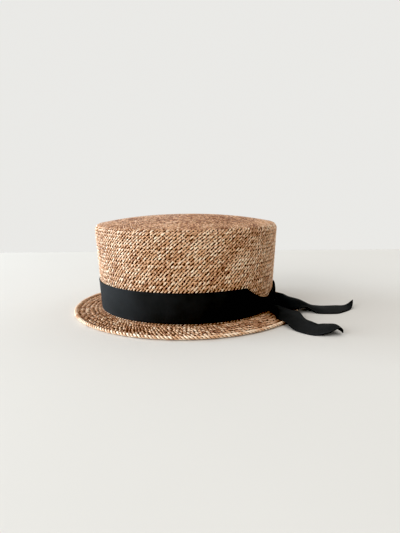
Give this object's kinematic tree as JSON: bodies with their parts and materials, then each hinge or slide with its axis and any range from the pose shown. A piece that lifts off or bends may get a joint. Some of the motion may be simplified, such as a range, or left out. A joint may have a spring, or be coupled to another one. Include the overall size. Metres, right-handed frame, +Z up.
{
  "type": "straw boater hat",
  "caption": "Straw boater hat, hand woven in one piece with a flat oval crown, narrow flat brim and a black grosgrain ribbon tied at the back, its tails lying on the surface.",
  "frame": {"origin": "centre of the head opening, on the surface that the rim of the brim rests on", "axes": "+X to the back of the hat, where the ribbon is knotted; -X is the front; +Y to the wearer's right; +Z up through the crown"},
  "size_m": [0.3258, 0.2404, 0.1092],
  "materials": {
    "straw": "natural plaited straw, satin",
    "ribbon": "black grosgrain, matt with a faint sheen"
  },
  "bodies": {
    "root": {"straw_body": "straw", "ribbon_band": "ribbon", "ribbon_knot": "ribbon", "ribbon_tail_rear": "ribbon", "ribbon_tail_front": "ribbon"}
  },
  "joints": []
}
